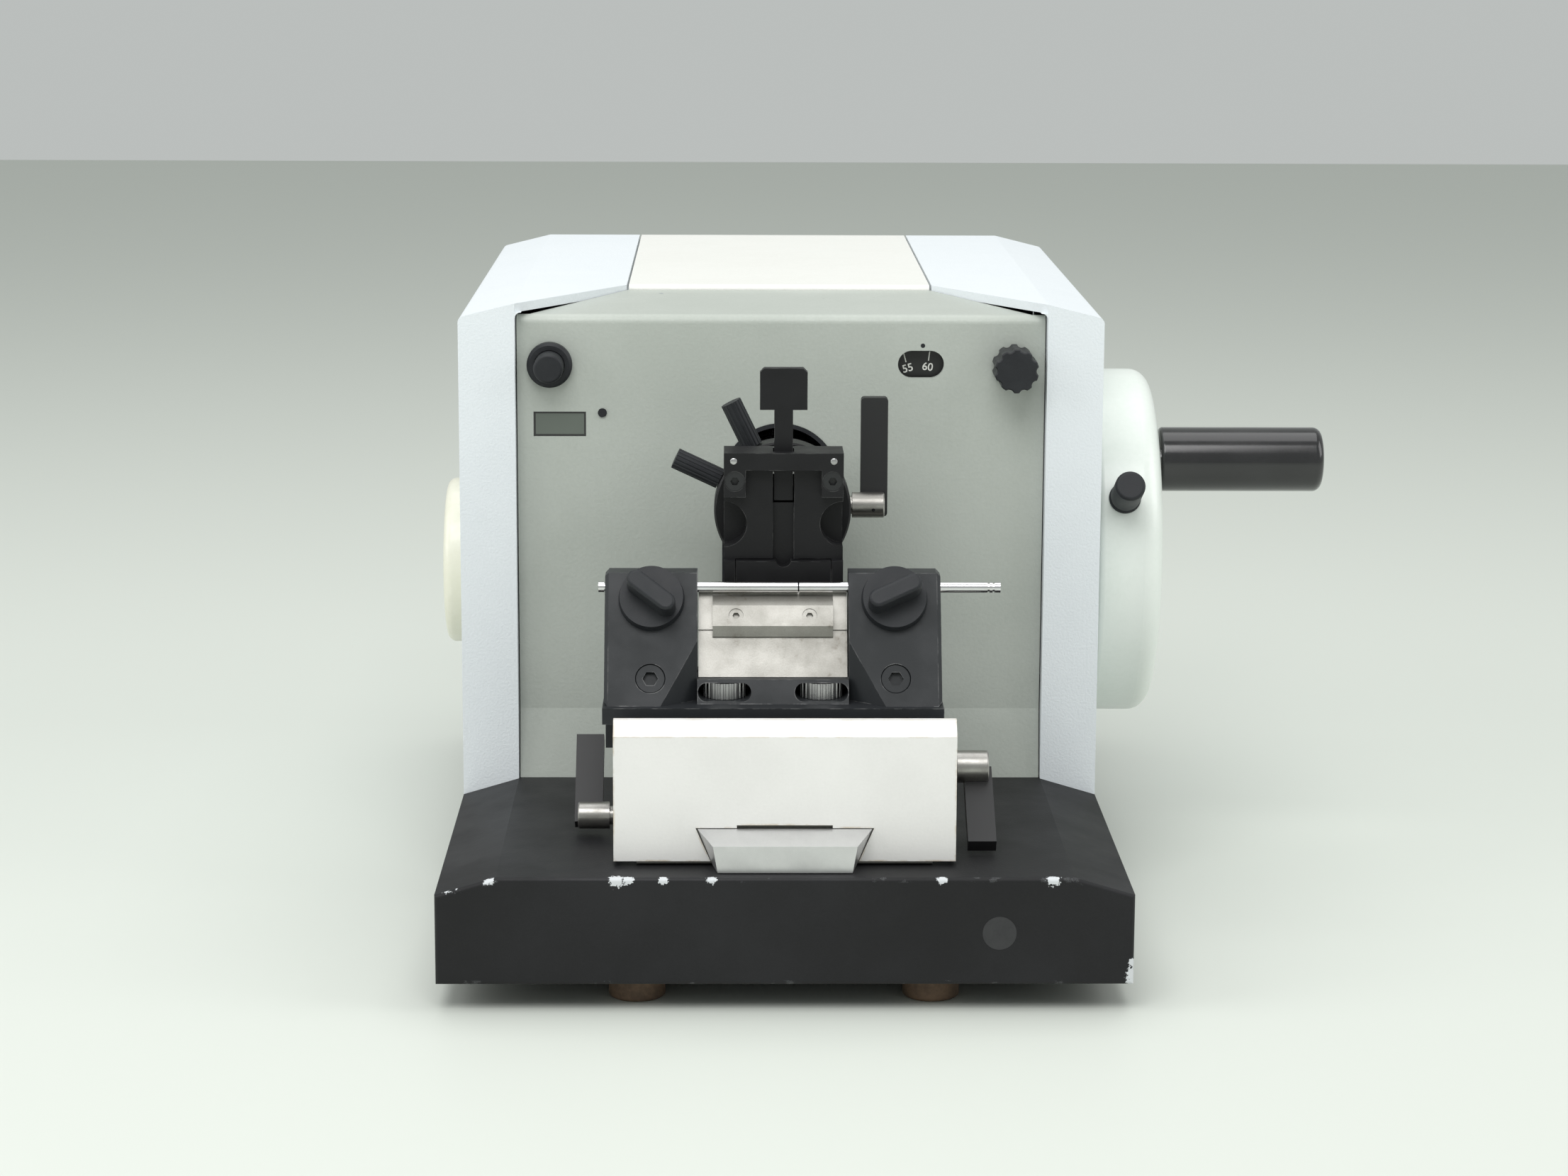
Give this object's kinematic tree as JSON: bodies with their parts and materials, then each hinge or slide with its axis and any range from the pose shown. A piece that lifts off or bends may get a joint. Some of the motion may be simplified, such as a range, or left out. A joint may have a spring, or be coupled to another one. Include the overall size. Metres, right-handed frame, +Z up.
{
  "type": "rotary microtome",
  "caption": "Manual rotary microtome: a handwheel strokes a clamped specimen cassette past a tilting knife holder on a heavy base.",
  "frame": {"origin": "on the table, under the middle of the machine's whole width and depth, handwheel and pull included", "axes": "+X to the operator's right, where the handwheel is, +Y away from the operator, +Z up"},
  "size_m": [0.411, 0.4952, 0.2763],
  "materials": {
    "cover_paint": "fine-textured paint, blue white",
    "top_paint": "fine-textured paint, warm white",
    "panel_paint": "orange-peel paint, grey green",
    "box_paint": "smooth white paint, handled",
    "base_paint": "dark charcoal paint, chipped at the edges",
    "wheel_paint": "smooth paint, greenish white",
    "coarse_plastic": "yellowed white plastic",
    "black_anodised": "black anodised, edges worn light",
    "knob_plastic": "dark grey moulded plastic",
    "handle_plastic": "polished black plastic",
    "ground_steel": "ground steel with rust stains",
    "bare_steel": "turned steel",
    "rod_chrome": "polished",
    "satin_aluminium": "satin",
    "bearing_bronze": "turned bronze",
    "frame_iron": "painted casting",
    "foot_rubber": "brownish rubber",
    "display_case": "grey green liquid crystal in a dark frame",
    "dial_plastic": "black scale dial",
    "bracket_steel": "folded sheet"
  },
  "bodies": {
    "stand": {"base_plate": "base_paint", "blind_plug": "knob_plastic", "base_feet": "foot_rubber", "left_side_cover": "cover_paint", "right_side_cover": "cover_paint", "top_cover": "top_paint", "rear_cover": "cover_paint", "rear_cover_screws": "bare_steel", "front_panel": "panel_paint", "slot_lining": "knob_plastic", "counter_display": "display_case", "trim_bezel": "knob_plastic", "dial_bracket": "bracket_steel", "machine_frame": "frame_iron", "guide_rods": "rod_chrome", "shaft_bearings": "bearing_bronze", "carrier_rail": "bare_steel"},
    "drive": {"handwheel": "wheel_paint", "main_shaft": "bare_steel", "crank_arm": "bare_steel", "handle_pin": "bare_steel"},
    "handle": {"handle_grip": "handle_plastic"},
    "wheel_lock": {"lock_knob": "knob_plastic"},
    "carriage": {"carriage": "frame_iron", "yoke_plate": "bare_steel"},
    "specimen_feed": {"specimen_cylinder": "bare_steel", "head_disc": "black_anodised"},
    "spindle": {"feed_spindle": "bare_steel"},
    "coarse_drive": {"coarse_wheel": "coarse_plastic"},
    "head_tilt_part": {"tilt_shell": "black_anodised"},
    "cassette_clamp": {"swing_ball": "bare_steel", "clamp_body": "black_anodised", "clamp_fasteners": "bare_steel"},
    "tilt_setting": {"tilt_screw": "knob_plastic"},
    "swing_setting": {"swing_screw": "knob_plastic"},
    "head_release": {"head_lever": "ground_steel"},
    "clamp_release": {"clamp_lever": "black_anodised"},
    "jaw": {"clamp_jaw": "black_anodised"},
    "thickness_setting": {"thickness_knob": "knob_plastic"},
    "thickness_scale": {"thickness_dial": "dial_plastic"},
    "trim_setting": {"trim_knob": "knob_plastic"},
    "reset": {"reset_button": "knob_plastic"},
    "knife_base": {"knife_carrier": "ground_steel", "front_box": "box_paint"},
    "tray": {"tray_pull": "satin_aluminium"},
    "left_release": {"left_lever": "satin_aluminium"},
    "right_release": {"right_lever": "satin_aluminium"},
    "knife_cradle": {"cradle": "ground_steel"},
    "knife_holder": {"holder_slab": "black_anodised", "holder_blocks": "black_anodised", "block_screws": "black_anodised", "cross_piece": "black_anodised"},
    "left_wing": {"left_wing_knob": "knob_plastic"},
    "right_wing": {"right_wing_knob": "knob_plastic"},
    "blade_rest": {"support_plate": "ground_steel", "pressure_plate": "ground_steel"},
    "left_height": {"left_height_wheel": "bare_steel"},
    "right_height": {"right_height_wheel": "bare_steel"},
    "left_guard": {"left_guard_rod": "rod_chrome"},
    "right_guard": {"right_guard_rod": "rod_chrome"}
  },
  "joints": [
    {"name": "handwheel_spin", "type": "hinge", "parent": "stand", "child": "drive", "pos_m": [0.1115, 0.02075, 0.1517], "axis": [-1, 0, 0], "range_deg": [0, 180]},
    {"name": "handle_spin", "type": "hinge", "parent": "drive", "child": "handle", "pos_m": [0.1665, -0.01925, 0.197], "axis": [1, 0, 0], "continuous": true},
    {"name": "wheel_lock_slide", "type": "slide", "parent": "drive", "child": "wheel_lock", "axis": [0, -0.9181, 0.3963], "range_m": [0, 0.005]},
    {"name": "carriage_stroke", "type": "slide", "parent": "stand", "child": "carriage", "axis": [0, 0, 1], "range_m": [-0.06, 0]},
    {"name": "coarse_wheel_spin", "type": "hinge", "parent": "stand", "child": "coarse_drive", "pos_m": [-0.1985, 0.00575, 0.144], "axis": [1, 0, 0], "range_deg": [0, 5040]},
    {"name": "specimen_feed_slide", "type": "slide", "parent": "carriage", "child": "specimen_feed", "axis": [0, 1, 0], "range_m": [0, 0.028]},
    {"name": "spindle_spin", "type": "hinge", "parent": "carriage", "child": "spindle", "pos_m": [-0.0485, 0.07075, 0.192], "axis": [0, 1, 0], "range_deg": [0, 5040]},
    {"name": "head_tilt", "type": "hinge", "parent": "specimen_feed", "child": "head_tilt_part", "pos_m": [-0.0485, -0.12325, 0.192], "axis": [1, 0, 0], "range_deg": [-8, 8]},
    {"name": "head_swing", "type": "hinge", "parent": "head_tilt_part", "child": "cassette_clamp", "pos_m": [-0.0485, -0.12325, 0.192], "axis": [0, 0, 1], "range_deg": [-8, 8]},
    {"name": "tilt_screw_turn", "type": "hinge", "parent": "specimen_feed", "child": "tilt_setting", "pos_m": [-0.0485, -0.12525, 0.192], "axis": [-0.4384, 0, 0.8988], "range_deg": [-360, 360]},
    {"name": "swing_screw_turn", "type": "hinge", "parent": "specimen_feed", "child": "swing_setting", "pos_m": [-0.0485, -0.12525, 0.192], "axis": [-0.9063, 0, 0.4226], "range_deg": [-360, 360]},
    {"name": "head_lever_swing", "type": "hinge", "parent": "specimen_feed", "child": "head_release", "pos_m": [-0.0085, -0.12525, 0.1932], "axis": [1, 0, 0], "range_deg": [0, 50]},
    {"name": "clamp_lever_swing", "type": "hinge", "parent": "cassette_clamp", "child": "clamp_release", "pos_m": [-0.0485, -0.15075, 0.212], "axis": [1, 0, 0], "range_deg": [0, 12]},
    {"name": "jaw_slide", "type": "slide", "parent": "cassette_clamp", "child": "jaw", "axis": [0, 0, -1], "range_m": [0, 0.003]},
    {"name": "thickness_knob_turn", "type": "hinge", "parent": "stand", "child": "thickness_setting", "pos_m": [0.0564, -0.07925, 0.248], "axis": [0, -1, 0], "range_deg": [-540, 22.5]},
    {"name": "thickness_dial_turn", "type": "hinge", "parent": "stand", "child": "thickness_scale", "pos_m": [0.0149, -0.05925, 0.22388], "axis": [0, -1, 0], "range_deg": [-11.25, 270]},
    {"name": "trim_knob_push", "type": "slide", "parent": "stand", "child": "trim_setting", "axis": [0, 1, 0], "range_m": [0, 0.004], "stiffness_N_per_m": 500, "springref_m": -0.002},
    {"name": "reset_push", "type": "slide", "parent": "stand", "child": "reset", "axis": [0, 1, 0], "range_m": [0, 0.001], "stiffness_N_per_m": 500, "springref_m": -0.001},
    {"name": "knife_base_slide", "type": "slide", "parent": "stand", "child": "knife_base", "axis": [0, -1, 0], "range_m": [0, 0.015]},
    {"name": "tray_pull_slide", "type": "slide", "parent": "knife_base", "child": "tray", "axis": [0, -1, 0], "range_m": [0, 0.008]},
    {"name": "left_lever_turn", "type": "hinge", "parent": "knife_base", "child": "left_release", "pos_m": [-0.1285, -0.17925, 0.0667], "axis": [-1, 0, 0], "range_deg": [0, 40]},
    {"name": "right_lever_turn", "type": "hinge", "parent": "knife_base", "child": "right_release", "pos_m": [0.0315, -0.17925, 0.0883], "axis": [-1, 0, 0], "range_deg": [0, 60]},
    {"name": "cradle_tilt", "type": "hinge", "parent": "knife_base", "child": "knife_cradle", "pos_m": [-0.0485, -0.17575, 0.17], "axis": [-1, 0, 0], "range_deg": [0, 6]},
    {"name": "holder_shift", "type": "slide", "parent": "knife_cradle", "child": "knife_holder", "axis": [1, 0, 0], "range_m": [-0.01, 0.01]},
    {"name": "left_wing_turn", "type": "hinge", "parent": "knife_holder", "child": "left_wing", "pos_m": [-0.10475, -0.18541, 0.16286], "axis": [0, -0.891, 0.454], "range_deg": [-10, 80]},
    {"name": "right_wing_turn", "type": "hinge", "parent": "knife_holder", "child": "right_wing", "pos_m": [-0.00175, -0.18541, 0.16286], "axis": [0, -0.891, 0.454], "range_deg": [-80, 10]},
    {"name": "left_height_turn", "type": "hinge", "parent": "knife_holder", "child": "left_height", "pos_m": [-0.07375, -0.19045, 0.125], "axis": [0, 0, 1], "range_deg": [0, 540]},
    {"name": "right_height_turn", "type": "hinge", "parent": "knife_holder", "child": "right_height", "pos_m": [-0.03275, -0.19045, 0.125], "axis": [0, 0, 1], "range_deg": [0, 540]},
    {"name": "blade_rest_slide", "type": "slide", "parent": "knife_holder", "child": "blade_rest", "axis": [0, 0.454, 0.891], "range_m": [0, 0.0015]},
    {"name": "left_guard_slide", "type": "slide", "parent": "knife_holder", "child": "left_guard", "axis": [-1, 0, 0], "range_m": [0, 0.055]},
    {"name": "right_guard_slide", "type": "slide", "parent": "knife_holder", "child": "right_guard", "axis": [1, 0, 0], "range_m": [0, 0.055]}
  ],
  "couplings": [
    {"joint": "carriage_stroke", "follows": "handwheel_spin", "m_per_rad": -0.019099},
    {"joint": "coarse_wheel_spin", "follows": "specimen_feed_slide", "rad_per_m": 3141.6},
    {"joint": "spindle_spin", "follows": "specimen_feed_slide", "rad_per_m": 3141.6},
    {"joint": "tilt_screw_turn", "follows": "head_tilt", "ratio": 45},
    {"joint": "swing_screw_turn", "follows": "head_swing", "ratio": 45},
    {"joint": "jaw_slide", "follows": "clamp_lever_swing", "m_per_rad": 0.0143},
    {"joint": "thickness_dial_turn", "follows": "thickness_knob_turn", "ratio": -0.5},
    {"joint": "left_height_turn", "follows": "blade_rest_slide", "rad_per_m": 6283.2},
    {"joint": "right_height_turn", "follows": "blade_rest_slide", "rad_per_m": 6283.2}
  ]
}
